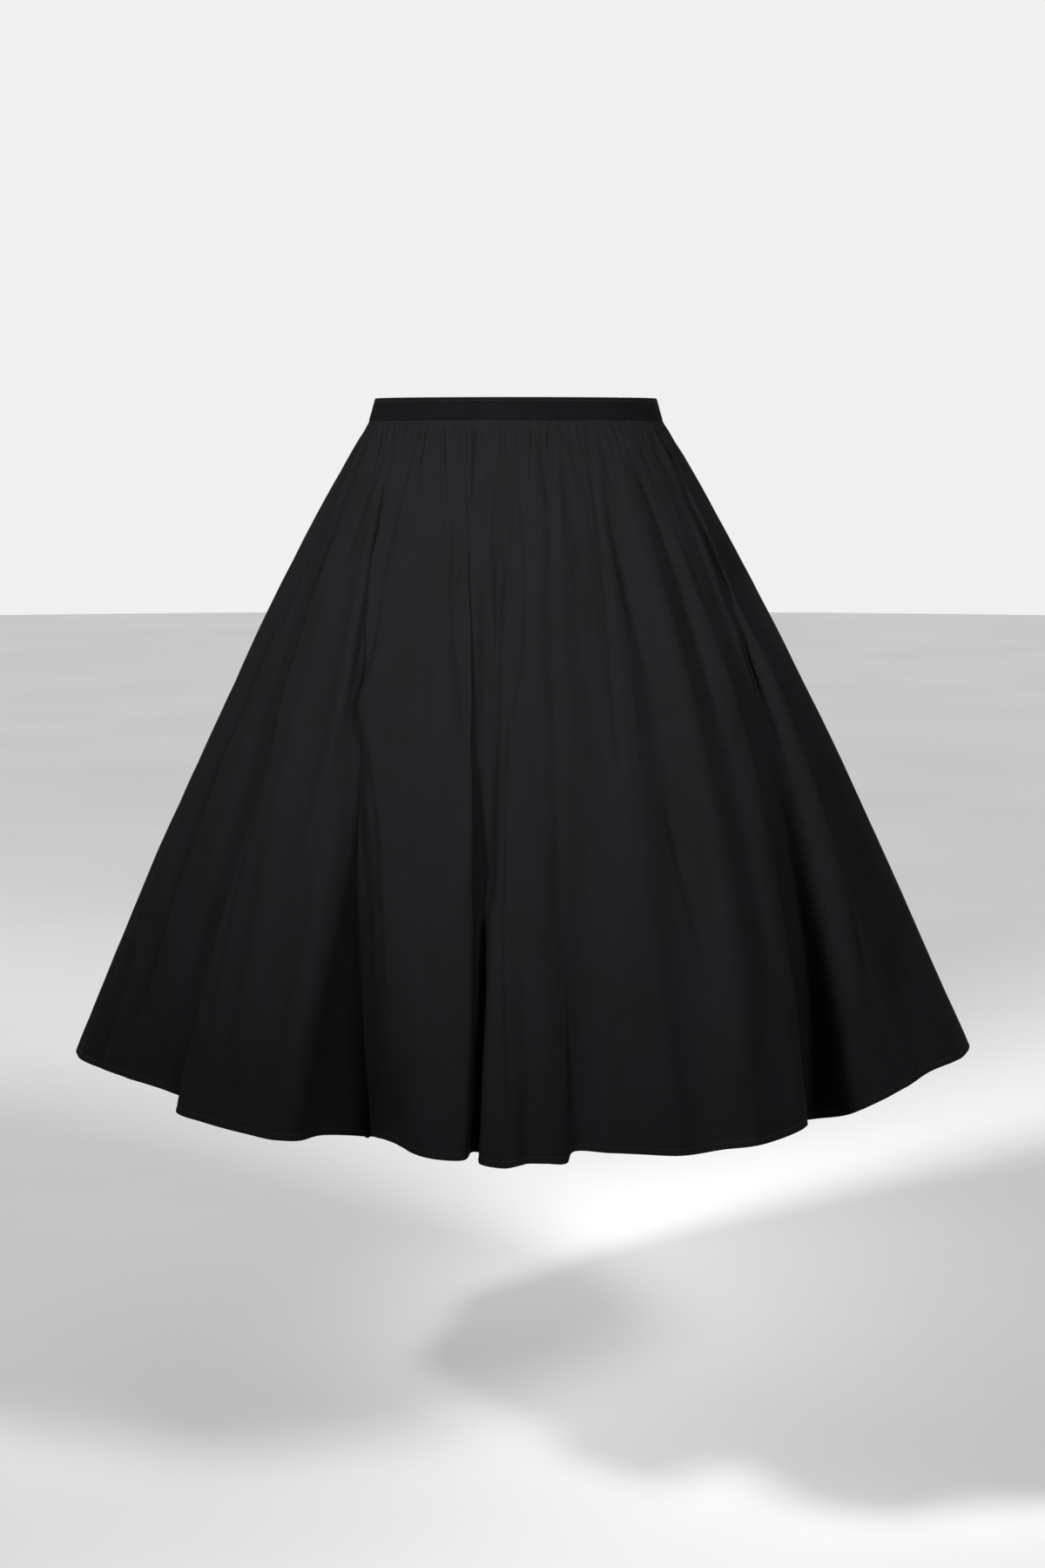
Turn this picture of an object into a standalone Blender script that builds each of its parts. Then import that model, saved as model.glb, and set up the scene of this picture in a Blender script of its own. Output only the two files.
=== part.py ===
"""Black gathered midi skirt: a narrow waistband, three gathered panels and a back zip.

Metres, +Z up. The skirt is filled out as when worn, with nobody in it. The wearer
faces -Y, so the wearer's left is +X. The origin is the centre of the waistband's
ring, half way up the band, where the waist holds the skirt.
"""
import math
from collections import namedtuple

import bmesh
import bpy
import numpy as np
from mathutils import Vector

MM = 0.001
SHARP_EDGE_DEG = 50.0

# Waistband: a smooth strip round an oval waist, a little wider at its lower edge
BAND_HEIGHT = 0.021
BAND_THICKNESS = 0.0018
BAND_TOP_HALF_WIDTH = 0.1288
BAND_TOP_HALF_DEPTH = 0.0955
BAND_BOTTOM_HALF_WIDTH = 0.1346
BAND_BOTTOM_HALF_DEPTH = 0.0998
BAND_SEGMENTS = 96
BAND_EDGE_SEGMENTS = 3

# Skirt: the cloth's mid surface from the waist seam down to the hem
CLOTH_THICKNESS = 0.0014
BEND_STRETCH = 1.6
SEAM_GAP = 0.0003
SEAM_TO_HEM = 0.5955
HEM_HALF_WIDTH = 0.4235
HEM_HALF_DEPTH = 0.3920
FLARE = 0.174
FLARE_POWER = 0.8

# Gathers: one crest and one valley each, evenly spaced round the waist seam
GATHER_DEPTH = 0.0016
GATHER_SEAM_SHARE = 0.25
GATHER_RISE = 0.02
GATHER_FADE = 0.20
COLUMNS_PER_GATHER = 2
FLAT_GATHERS_AT_ZIP = 2.0

# Heights of the cloth's rows, as shares of the drop from seam to hem
ROWS = (0.0, 0.012, 0.03, 0.06, 0.10, 0.16, 0.22, 0.30, 0.42, 0.56, 0.70, 0.85, 1.0)

# Centre-back zip; its tape follows the cloth down to one of the rows above
ZIP_TOP = 0.0095
TAPE_LAST_ROW = 7
TAPE_REACH_COLUMNS = 12
ZIP_HALF_GAP = 0.0008
TAPE_WIDTH = 0.011
TAPE_THICKNESS = 0.001
TAPE_INSET = 0.0019
HINGE_HEIGHT = 0.0045
HINGE_STANDOFF = 0.0050
BAIL_OUTER_RADIUS = 0.0024
BAIL_HOLE_RADIUS = 0.0012
BAIL_THICKNESS = 0.0012
BAIL_SEGMENTS = 32
NECK_THICKNESS = 0.0009
NECK_HEIGHT = 0.0024
SLIDER_SIZE = (0.0062, 0.0024, 0.0090)
SLIDER_EDGE_RADIUS = 0.0005
SLIDER_INSET = 0.0040
PULL_LENGTH = 0.0150
PULL_WIDTH = 0.0050
PULL_TIP_WIDTH = 0.0062
PULL_THICKNESS = 0.0011
PULL_BAR = 0.0013
PULL_WINDOW_WIDTH = 0.0021
PULL_WINDOW_LENGTH = 0.0025
PULL_TIP_SEGMENTS = 12

# The folds, one row a ridge or valley line, round the wearer from the right side
# seam over the front. gathers is how many gathers lie between this line and the
# next, hem_deg is where the line meets the hem (0 at centre front, 90 at the left
# side seam), out_mm and mid_mm push it out of the plain oval at the hem and half
# way down, rise_mm lifts the hem there, and side_mm bows the line half way down,
# towards the next line if above 0.
Fold = namedtuple("Fold", "gathers hem_deg out_mm mid_mm rise_mm side_mm")
FRONT_FOLDS = (
    Fold(1, -90, -11, -2, 12, 0),
    Fold(1, -80, -13, -2, 12, 0),
    Fold(1, -70, -27, -6, 14, 0),
    Fold(1, -60, -38, 2, 15, 10),
    Fold(1, -51.5, -41, -6, 15, 4),
    Fold(1, -48, -44, -4, 11, 0),
    Fold(1, -46, -19, 5, 8, 0),
    Fold(1, -40, -14, 3, 6, 0),
    Fold(1, -33, -9, 4, 4.5, 0),
    Fold(1, -27.5, -9, 6, 2.5, 4),
    Fold(1, -25.8, -48, 14, 0, 6),
    Fold(1, -23, -108, 40, -13, 5),
    Fold(2, -19.6, -84, 30, -7, -6),
    Fold(2, -13, -26, 14, 1.5, -28),
    Fold(2, -9.2, -1, 3, 0, -15),
    Fold(1, -5.7, 1, 3, 0, 8),
    Fold(1, -5.1, -26, 8, 0, 6),
    Fold(1, -4.3, -36, 10, -3, 7),
    Fold(2, -3.65, 6, -4, -2, 8),
    Fold(1, -1, 13, -7, -3, 4),
    Fold(2, 1.2, 4, 2, -2, 0),
    Fold(1, 3.4, 7, 2, -1, 0),
    Fold(1, 5.6, 0, 3, -2.8, 0),
    Fold(2, 6.6, -14, 12, 3, 0),
    Fold(2, 11, -12, 9, 1.5, 0),
    Fold(1, 18, 4, 3, 0, 0),
    Fold(1, 23.5, 1, -4, 1, 2),
    Fold(2, 27.5, 4, 7, 1.5, 12),
    Fold(2, 33, -6, -1, 3, 10),
    Fold(2, 37.3, -18, 4, 5, 22),
    Fold(1, 48.5, -114, 36, -22, 8),
    Fold(1, 56, -106, 32, -24, -4),
    Fold(1, 51.2, -47, 6, -4, 25),
    Fold(2, 61, -31, 6, 8, 0),
    Fold(1, 68, -23, -15, 14.5, 0),
    Fold(2, 79, -4, 0, 14, 0),
)
BACK_FOLDS = (
    Fold(2, 90, 3, -5, 13, 0),
    Fold(1, 99, -14, 0, 13, 0),
    Fold(2, 108, -34, -6, 12, 6),
    Fold(2, 114, -14, 2, 10, 8),
    Fold(3, 121, -6, 4, 8, 4),
    Fold(1, 129, -16, 2, 7, 0),
    Fold(1, 133, -62, 12, 1, -8),
    Fold(1, 139, -58, 10, 0, -12),
    Fold(2, 144, -12, 2, 4, -16),
    Fold(3, 151, 1, 4, 3, -6),
    Fold(1, 160, -8, 3, 2, 0),
    Fold(1, 164, -46, 8, 0, 6),
    Fold(1, 168, -40, 6, -1, 8),
    Fold(3, 173, -6, 0, 0, 2),
    Fold(3, 180, -2, 0, 0, 0),
    Fold(2, 188, -5, 0, 1, -3),
    Fold(1, 193, -44, 7, -1, -9),
    Fold(1, 198, -56, 10, 0, -6),
    Fold(2, 203, -14, 2, 3, 0),
    Fold(3, 210, 0, 4, 4, 8),
    Fold(2, 219, -8, 3, 5, 14),
    Fold(1, 225, -56, 12, 3, 12),
    Fold(2, 231, -54, 8, 4, 4),
    Fold(2, 237, -14, 2, 9, 0),
    Fold(2, 246, -8, 3, 10, -8),
    Fold(1, 254, -26, -4, 12, -6),
    Fold(2, 261, -24, -3, 12, 0),
)
FOLDS = FRONT_FOLDS + BACK_FOLDS
FRONT_GATHERS = sum(fold.gathers for fold in FRONT_FOLDS)
GATHERS = sum(fold.gathers for fold in FOLDS)
BACK_CENTRE_GATHER = FRONT_GATHERS + (GATHERS - FRONT_GATHERS) // 2

# Colours, linear, with roughness and metallic value
CLOTH_FINISH = ((0.0185, 0.0178, 0.0185), 0.85, 0.0)
BAND_FINISH = ((0.0110, 0.0100, 0.0115), 0.80, 0.0)
TAPE_FINISH = ((0.0100, 0.0100, 0.0110), 0.90, 0.0)
METAL_FINISH = ((0.0120, 0.0120, 0.0130), 0.35, 0.6)


def smooth(share):
    """Ease from 0 to 1 over 0..1."""
    held = np.clip(share, 0.0, 1.0)
    return held * held * (3.0 - 2.0 * held)


def oval(degrees, half_width, half_depth):
    """Points of an oval in plan, 0 degrees at centre front, 90 at +X."""
    angle = np.radians(degrees)
    return np.stack([half_width * np.sin(angle), -half_depth * np.cos(angle)], axis=-1)


def unit(vectors):
    """The vectors at length 1."""
    return vectors / np.linalg.norm(vectors, axis=-1, keepdims=True)


def oval_outward(degrees, half_width, half_depth):
    """Unit vectors that point straight out of the oval."""
    angle = np.radians(degrees)
    return unit(np.stack([np.sin(angle) / half_width, -np.cos(angle) / half_depth], axis=-1))


def ring_curve(points, steps):
    """A closed centripetal curve through the points, with steps[i] points from i on."""
    count = len(points)
    reach = np.linalg.norm(np.roll(points[:, :2], -1, axis=0) - points[:, :2], axis=1)
    span = np.sqrt(reach)
    slope = (np.roll(points, -1, axis=0) - points) / span[:, None]
    before = np.roll(span, 1)[:, None]
    after = span[:, None]
    tangent = (np.roll(slope, 1, axis=0) * after + slope * before) / (before + after)
    curve = []
    for i in range(count):
        j = (i + 1) % count
        v = (np.arange(steps[i]) / steps[i])[:, None]
        start = 2 * v**3 - 3 * v**2 + 1
        leave = (v**3 - 2 * v**2 + v) * span[i]
        end = 3 * v**2 - 2 * v**3
        arrive = (v**3 - v**2) * span[i]
        curve.append(start * points[i] + leave * tangent[i] + end * points[j] + arrive * tangent[j])
    return np.concatenate(curve)


def fold_ring(columns_per_gather):
    """For each column: gather, waist point, hem point, mid push, mid bow, hem rise."""
    hem_deg = np.array([fold.hem_deg for fold in FOLDS], dtype=float)
    out = np.array([fold.out_mm for fold in FOLDS])[:, None] * MM
    hem = oval(hem_deg, HEM_HALF_WIDTH, HEM_HALF_DEPTH)
    hem = hem + out * oval_outward(hem_deg, HEM_HALF_WIDTH, HEM_HALF_DEPTH)
    extra = np.array([(fold.mid_mm, fold.rise_mm, fold.side_mm) for fold in FOLDS]) * MM
    steps = [fold.gathers * columns_per_gather for fold in FOLDS]
    ring = ring_curve(np.concatenate([hem, extra], axis=1), steps)
    gather = np.arange(len(ring)) / columns_per_gather
    waist_deg = -90.0 + 360.0 * gather / GATHERS
    waist = oval(waist_deg, BAND_BOTTOM_HALF_WIDTH, BAND_BOTTOM_HALF_DEPTH)
    return gather, waist, ring[:, :2], ring[:, 2:3], ring[:, 4:5], ring[:, 3]


def cloth_rows(columns_per_gather, shares):
    """The cloth's mid surface and the outward steps that make its wall, row by row.

    A step is one unit out of the cloth, and longer where the cloth bends sharply.
    """
    gather, waist, hem, mid, side, rise = fold_ring(columns_per_gather)
    top = -BAND_HEIGHT / 2 - SEAM_GAP
    from_zip = np.abs(gather - BACK_CENTRE_GATHER)
    calm = smooth((from_zip - FLAT_GATHERS_AT_ZIP) / FLAT_GATHERS_AT_ZIP)
    wave = (np.cos(2.0 * np.pi * gather) - 1.0) * calm * GATHER_DEPTH
    rows = []
    for share in shares:
        spread = share + FLARE * share**FLARE_POWER * (1.0 - share)
        plan = (1.0 - spread) * waist + spread * hem
        outward = unit(plan)
        onward = np.stack([-outward[:, 1], outward[:, 0]], axis=1)
        plan = plan + (outward * mid + onward * side) * 4.0 * share * (1.0 - share)
        swell = GATHER_SEAM_SHARE + (1.0 - GATHER_SEAM_SHARE) * smooth(share / GATHER_RISE)
        swell *= 1.0 - smooth(share / GATHER_FADE)
        plan = plan + outward * (wave * swell)[:, None]
        height = top - share * (SEAM_TO_HEM - SEAM_GAP) + rise * share
        rows.append(np.concatenate([plan, height[:, None]], axis=1))
    grid = np.array(rows)
    down = np.gradient(grid, axis=0)
    edge = unit(np.roll(grid, -1, axis=1) - grid)
    across = unit(edge + np.roll(edge, 1, axis=1))
    half_turn_cosine = np.sum(edge * across, axis=2, keepdims=True)
    step = unit(np.cross(across, -down)) / np.maximum(half_turn_cosine, 1.0 / BEND_STRETCH)
    return grid, step


def finish(name, colour, roughness, metallic):
    """A plain material in one colour."""
    material = bpy.data.materials.new(name)
    material.use_nodes = True
    shader = material.node_tree.nodes["Principled BSDF"]
    shader.inputs["Base Color"].default_value = (*colour, 1.0)
    shader.inputs["Roughness"].default_value = roughness
    shader.inputs["Metallic"].default_value = metallic
    return material


def add_object(name, mesh, look):
    """A new object in the scene with its own material."""
    mesh.materials.append(finish(name, *look))
    made = bpy.data.objects.new(name, mesh)
    bpy.context.scene.collection.objects.link(made)
    return made


def wall_mesh(name, outer, inner):
    """A closed wall between two grids of points, rows by columns by XYZ."""
    rows, columns = outer.shape[:2]
    mesh_data = bmesh.new()
    faces = [[mesh_data.verts.new(point) for point in row] for row in outer]
    backs = [[mesh_data.verts.new(point) for point in row] for row in inner]

    def quad(a, b, c, d):
        mesh_data.faces.new((a, b, c))
        mesh_data.faces.new((a, c, d))

    for i in range(rows - 1):
        for j in range(columns - 1):
            quad(faces[i][j], faces[i + 1][j], faces[i + 1][j + 1], faces[i][j + 1])
            quad(backs[i][j], backs[i][j + 1], backs[i + 1][j + 1], backs[i + 1][j])
        quad(faces[i][0], backs[i][0], backs[i + 1][0], faces[i + 1][0])
        quad(faces[i][-1], faces[i + 1][-1], backs[i + 1][-1], backs[i][-1])
    for j in range(columns - 1):
        quad(faces[0][j], faces[0][j + 1], backs[0][j + 1], backs[0][j])
        quad(faces[-1][j], backs[-1][j], backs[-1][j + 1], faces[-1][j + 1])
    mesh = bpy.data.meshes.new(name)
    mesh_data.to_mesh(mesh)
    mesh_data.free()
    return mesh


def make_panel(name, grid, steps_out, first_gather, last_gather):
    """One panel of the skirt between two seams, as a wall round the mid surface."""
    first = first_gather * COLUMNS_PER_GATHER
    last = last_gather * COLUMNS_PER_GATHER
    picked = np.arange(first, last + 1) % grid.shape[1]
    middle = grid[:, picked].copy()
    out = steps_out[:, picked]
    for edge, inner in ((0, 1), (-1, -2)):
        middle[:, edge] += unit(middle[:, inner] - middle[:, edge]) * SEAM_GAP / 2
    half = CLOTH_THICKNESS / 2
    mesh = wall_mesh(name, middle + out * half, middle - out * half)
    mesh.shade_smooth()
    mesh.set_sharp_from_angle(angle=math.radians(SHARP_EDGE_DEG))
    return add_object(name, mesh, CLOTH_FINISH)


def band_section():
    """The band's cross-section: how far out of its middle, and how far up."""
    half = BAND_THICKNESS / 2
    straight = BAND_HEIGHT / 2 - half
    points = []
    for side in (1.0, -1.0):
        for step in range(BAND_EDGE_SEGMENTS + 1):
            turn = math.pi * step / BAND_EDGE_SEGMENTS
            points.append((side * half * math.cos(turn), side * (straight + half * math.sin(turn))))
    return points


def band_point(degrees, out, up):
    """A point of the band, out of its middle surface and up from its middle height."""
    share = up / BAND_HEIGHT + 0.5
    half_width = BAND_BOTTOM_HALF_WIDTH + (BAND_TOP_HALF_WIDTH - BAND_BOTTOM_HALF_WIDTH) * share
    half_depth = BAND_BOTTOM_HALF_DEPTH + (BAND_TOP_HALF_DEPTH - BAND_BOTTOM_HALF_DEPTH) * share
    plan = oval(degrees, half_width, half_depth) + out * oval_outward(degrees, half_width, half_depth)
    return (plan[0], plan[1], up)


def make_waistband():
    """A ring that is open at centre back, where the zip closes it."""
    half_gap_deg = math.degrees(ZIP_HALF_GAP / BAND_TOP_HALF_WIDTH)
    mesh_data = bmesh.new()
    section = band_section()
    rings = []
    for step in range(BAND_SEGMENTS + 1):
        share = step / BAND_SEGMENTS
        degrees = -180.0 + half_gap_deg + share * (360.0 - 2.0 * half_gap_deg)
        rings.append([mesh_data.verts.new(band_point(degrees, out, up)) for out, up in section])
    count = len(section)
    for ring, following in zip(rings, rings[1:]):
        for i in range(count):
            j = (i + 1) % count
            mesh_data.faces.new((ring[i], following[i], following[j], ring[j]))
    mesh_data.faces.new(rings[0])
    mesh_data.faces.new(rings[-1][::-1])
    mesh = bpy.data.meshes.new("waistband")
    mesh_data.to_mesh(mesh)
    mesh_data.free()
    mesh.shade_smooth()
    mesh.set_sharp_from_angle(angle=math.radians(SHARP_EDGE_DEG))
    return add_object("waistband", mesh, BAND_FINISH)


def walk_along(line, distance):
    """The segment of a polyline that a distance from its start reaches, and how far along."""
    lengths = np.linalg.norm(np.diff(line, axis=0), axis=1)
    ends = np.cumsum(lengths)
    i = int(np.searchsorted(ends, distance))
    share = (distance - (ends[i] - lengths[i])) / lengths[i]
    return i, share


def make_tape(name, grid, steps_out, side):
    """Half of the zip's tape, on the inside of the band and the back panel."""
    centre = BACK_CENTRE_GATHER * COLUMNS_PER_GATHER
    near = centre - side * np.arange(TAPE_REACH_COLUMNS)
    line_rows = []
    for up in (ZIP_TOP, 0.0, -BAND_HEIGHT / 2):
        degrees = [math.degrees(x / BAND_TOP_HALF_WIDTH) for x in (ZIP_HALF_GAP, TAPE_WIDTH)]
        row = [band_point(180.0 - side * degree, -TAPE_INSET, up) for degree in degrees]
        line_rows.append(row)
    for i in range(1, TAPE_LAST_ROW + 1):
        line = grid[i, near]
        inset = steps_out[i, near]
        row = []
        for distance in (ZIP_HALF_GAP, TAPE_WIDTH):
            k, share = walk_along(line, distance)
            point = line[k] + share * (line[k + 1] - line[k])
            out = inset[k] + share * (inset[k + 1] - inset[k])
            row.append(point - out * TAPE_INSET)
        line_rows.append(row)
    middle = np.array(line_rows, dtype=float)
    down = np.gradient(middle, axis=0)
    across = middle[:, 1] - middle[:, 0]
    out = unit(np.cross(across[:, None, :].repeat(2, axis=1), down) * side)
    half = TAPE_THICKNESS / 2
    outer = middle + out * half
    inner = middle - out * half
    if side > 0:
        outer = outer[:, ::-1]
        inner = inner[:, ::-1]
    return add_object(name, wall_mesh(name, outer, inner), TAPE_FINISH)


def box_mesh(name, low, high, bevel):
    """A box between two corners, with its edges rounded off."""
    mesh_data = bmesh.new()
    bmesh.ops.create_cube(mesh_data, size=1.0)
    size = Vector(high) - Vector(low)
    middle = (Vector(high) + Vector(low)) / 2
    bmesh.ops.scale(mesh_data, vec=size, verts=mesh_data.verts)
    bmesh.ops.translate(mesh_data, vec=middle, verts=mesh_data.verts)
    if bevel:
        bmesh.ops.bevel(mesh_data, geom=mesh_data.edges[:], offset=bevel, segments=2,
                        profile=0.5, affect="EDGES", clamp_overlap=True)
    mesh = bpy.data.meshes.new(name)
    mesh_data.to_mesh(mesh)
    mesh_data.free()
    return mesh


def ring_mesh(name, centre, outer_radius, hole_radius, thickness, segments):
    """A flat ring round the X axis, like a washer."""
    mesh_data = bmesh.new()
    loops = []
    for radius, x in ((outer_radius, -1), (outer_radius, 1), (hole_radius, 1), (hole_radius, -1)):
        loop = []
        for step in range(segments):
            turn = 2.0 * math.pi * step / segments
            point = (x * thickness / 2, radius * math.cos(turn), radius * math.sin(turn))
            loop.append(mesh_data.verts.new(Vector(centre) + Vector(point)))
        loops.append(loop)
    for loop, following in zip(loops, loops[1:] + loops[:1]):
        for i in range(segments):
            j = (i + 1) % segments
            mesh_data.faces.new((loop[i], loop[j], following[j], following[i]))
    bmesh.ops.recalc_face_normals(mesh_data, faces=mesh_data.faces[:])
    mesh = bpy.data.meshes.new(name)
    mesh_data.to_mesh(mesh)
    mesh_data.free()
    return mesh


def guide(name, mesh):
    """A shape that only serves a Boolean."""
    made = bpy.data.objects.new(name, mesh)
    bpy.context.scene.collection.objects.link(made)
    made.hide_render = True
    made.display_type = "WIRE"
    return made


def join_shape(target, operation, other):
    """Join to, or cut from, the target with an exact Boolean."""
    step = target.modifiers.new(other.name, "BOOLEAN")
    step.operation = operation
    step.solver = "EXACT"
    step.object = other


def hinge_centre():
    """The middle of the pull's hinge, just outside the band at centre back."""
    surface = band_point(180.0, 0.0, HINGE_HEIGHT)
    return Vector((0.0, surface[1] + HINGE_STANDOFF, HINGE_HEIGHT))


def make_slider():
    """The slider behind the band, with a neck through the gap and a ring outside."""
    hinge = hinge_centre()
    band_y = band_point(180.0, 0.0, HINGE_HEIGHT)[1]
    width, depth, height = SLIDER_SIZE
    body_back = band_y - SLIDER_INSET
    low = (-width / 2, body_back - depth, HINGE_HEIGHT - height / 2)
    high = (width / 2, body_back, HINGE_HEIGHT + height / 2)
    slider = add_object("zip_slider", box_mesh("zip_slider", low, high, SLIDER_EDGE_RADIUS), METAL_FINISH)
    half_neck = NECK_THICKNESS / 2
    neck_low = (-half_neck, body_back - depth / 2, HINGE_HEIGHT - NECK_HEIGHT / 2)
    neck_end = hinge.y - (BAIL_OUTER_RADIUS + BAIL_HOLE_RADIUS) / 2
    neck_high = (half_neck, neck_end, HINGE_HEIGHT + NECK_HEIGHT / 2)
    join_shape(slider, "UNION", guide("slider_neck", box_mesh("slider_neck", neck_low, neck_high, 0)))
    bail = ring_mesh("slider_bail", hinge, BAIL_OUTER_RADIUS, BAIL_HOLE_RADIUS, BAIL_THICKNESS,
                     BAIL_SEGMENTS)
    join_shape(slider, "UNION", guide("slider_bail", bail))
    return slider


def make_pull():
    """The pull tab, hanging from its bar in the slider's ring, with its origin there."""
    tip_radius = PULL_TIP_WIDTH / 2
    tip_centre = -PULL_LENGTH + tip_radius
    outline = [(-PULL_WIDTH / 2, PULL_BAR / 2), (-PULL_WIDTH / 2, -PULL_LENGTH / 2)]
    for step in range(PULL_TIP_SEGMENTS + 1):
        turn = math.pi * step / PULL_TIP_SEGMENTS
        outline.append((-tip_radius * math.cos(turn), tip_centre - tip_radius * math.sin(turn)))
    outline += [(PULL_WIDTH / 2, -PULL_LENGTH / 2), (PULL_WIDTH / 2, PULL_BAR / 2)]
    mesh_data = bmesh.new()
    half = PULL_THICKNESS / 2
    front = [mesh_data.verts.new((x, half, z)) for x, z in outline]
    back = [mesh_data.verts.new((x, -half, z)) for x, z in outline]
    mesh_data.faces.new(front)
    mesh_data.faces.new(back[::-1])
    for i in range(len(outline)):
        j = (i + 1) % len(outline)
        mesh_data.faces.new((front[i], front[j], back[j], back[i]))
    bmesh.ops.recalc_face_normals(mesh_data, faces=mesh_data.faces[:])
    mesh = bpy.data.meshes.new("zip_pull")
    mesh_data.to_mesh(mesh)
    mesh_data.free()
    pull = add_object("zip_pull", mesh, METAL_FINISH)
    pull.location = hinge_centre()
    half_window = PULL_WINDOW_WIDTH / 2
    bottom = -PULL_BAR / 2 - PULL_WINDOW_LENGTH
    low = (-half_window, -PULL_THICKNESS, bottom)
    high = (half_window, PULL_THICKNESS, -PULL_BAR / 2)
    window = guide("pull_window", box_mesh("pull_window", low, high, 0))
    window.location = pull.location
    join_shape(pull, "DIFFERENCE", window)
    return pull


def main():
    for old in list(bpy.data.objects):
        bpy.data.objects.remove(old, do_unlink=True)
    grid, steps_out = cloth_rows(COLUMNS_PER_GATHER, ROWS)
    make_waistband()
    make_panel("skirt_front", grid, steps_out, 0, FRONT_GATHERS)
    make_panel("skirt_back_left", grid, steps_out, FRONT_GATHERS, BACK_CENTRE_GATHER)
    make_panel("skirt_back_right", grid, steps_out, BACK_CENTRE_GATHER, GATHERS)
    make_tape("zip_tape_left", grid, steps_out, 1)
    make_tape("zip_tape_right", grid, steps_out, -1)
    make_slider()
    make_pull()


main()
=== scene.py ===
"""The looks of a black gathered midi skirt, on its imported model.

Metres, +Z up. The wearer faces -Y and the origin is the middle of the waistband.
The cloth follows the model's own surface, drawn finer and with its creases.
"""
import math
from collections import namedtuple

import bmesh
import bpy
import numpy as np
from mathutils import Matrix, Vector


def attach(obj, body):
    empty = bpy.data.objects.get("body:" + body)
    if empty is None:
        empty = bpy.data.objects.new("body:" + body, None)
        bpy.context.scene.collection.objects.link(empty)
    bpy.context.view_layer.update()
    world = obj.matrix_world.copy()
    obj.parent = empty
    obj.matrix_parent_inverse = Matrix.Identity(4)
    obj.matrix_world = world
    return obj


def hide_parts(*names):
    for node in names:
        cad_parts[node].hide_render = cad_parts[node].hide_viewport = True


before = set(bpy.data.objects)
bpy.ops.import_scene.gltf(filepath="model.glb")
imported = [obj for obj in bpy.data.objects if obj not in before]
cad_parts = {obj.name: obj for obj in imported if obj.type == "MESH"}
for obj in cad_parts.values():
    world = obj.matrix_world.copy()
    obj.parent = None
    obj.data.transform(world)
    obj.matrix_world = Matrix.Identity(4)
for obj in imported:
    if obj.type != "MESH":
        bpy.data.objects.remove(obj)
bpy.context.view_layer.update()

MM = 0.001
SHARP_ANGLE = math.radians(55)

# Waistband, as in the model
BAND_HEIGHT = 0.021
BAND_THICKNESS = 0.0018
BAND_TOP_HALF_WIDTH = 0.1288
BAND_TOP_HALF_DEPTH = 0.0955
BAND_BOTTOM_HALF_WIDTH = 0.1346
BAND_BOTTOM_HALF_DEPTH = 0.0998
BAND_SEGMENTS = 480
ZIP_HALF_GAP = 0.0008

# The band's pressed faces: the heights of their rows, the dent of the stitching along
# the top, the gathers' pull on the foot, and how far the strip wavers
BAND_ROWS_MM = (-9.0, -7.6, -5.0, -2.5, 0.0, 2.5, 5.0, 6.6, 7.1, 7.5, 7.9, 8.4, 9.2)
EDGE_STITCH_DROP = 0.0030
EDGE_STITCH_DENT = 0.00022
EDGE_STITCH_DENT_WIDTH = 0.0004
EDGE_STITCH_SINK = 0.0002
PUCKER_TOP = 0.002
PUCKER_OUT = 0.00022
PUCKER_UP = 0.00016
BAND_WAVER = 0.00012

# The cloth's surface from the waist seam down to the hem, as in the model
SEAM_GAP = 0.0003
SEAM_TO_HEM = 0.5955
HEM_HALF_WIDTH = 0.4235
HEM_HALF_DEPTH = 0.3920
FLARE = 0.174
FLARE_POWER = 0.8
SLANT_LENGTH = 0.66

# The shell. Panels meet at a hair's gap, so that no light shows through a seam.
CLOTH_THICKNESS = 0.0009
COLUMNS_PER_GATHER = 10
PANEL_GAP = 0.00001
SEAM_TUCK = 0.0009
SEAM_DIP = 0.0011
SEAM_DIP_WIDTH = 0.0035
SEAM_COLUMNS = 3

# The hem, turned up and stitched, and the wrinkles that the stitching leaves
HEM_TURN = 0.011
HEM_TURN_EXTRA = 0.0010
HEM_STITCH_HEIGHT = 0.0055
HEM_STITCH_DIP = 0.00030
HEM_STITCH_DIP_WIDTH = 0.0012
HEM_EDGE_THINNING = 0.55
HEM_EDGE_LENGTH = 0.0006
HEM_WRINKLE_TOP = 0.54
HEM_WRINKLE_STRENGTH = 7.0

# The shell's rows, in shares of the drop: fine at the gathers, wider below them, and
# at the hem in metres above its edge
GATHER_ROWS_END = 0.06
GATHER_ROW = 0.0042
UPPER_ROWS_END = 0.20
UPPER_ROW = 0.0085
LOWER_ROWS = 57
HEM_ROWS = (0.0, 0.0006, 0.0018, 0.0042, 0.0055, 0.0068, 0.0100, 0.0115, 0.0150)

# Gathers: one valley in each, uneven in depth, length and path
GATHER_DEPTH = 0.0032
GATHER_SHALLOWEST = 0.35
GATHER_DEEPEST = 1.15
GATHER_SHARPNESS = 2.4
GATHER_SEAM_SHARE = 0.10
GATHER_RISE = 0.02
GATHER_SHORTEST = 0.05
GATHER_LONGEST = 0.30
GATHER_LENGTH_POWER = 4.0
GATHER_SWAY = 0.26
GATHER_SWAY_RATE = 22.0
GATHER_SWAY_START = 0.03
FLAT_GATHERS_AT_ZIP = 2.0
SEED = 7

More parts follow.
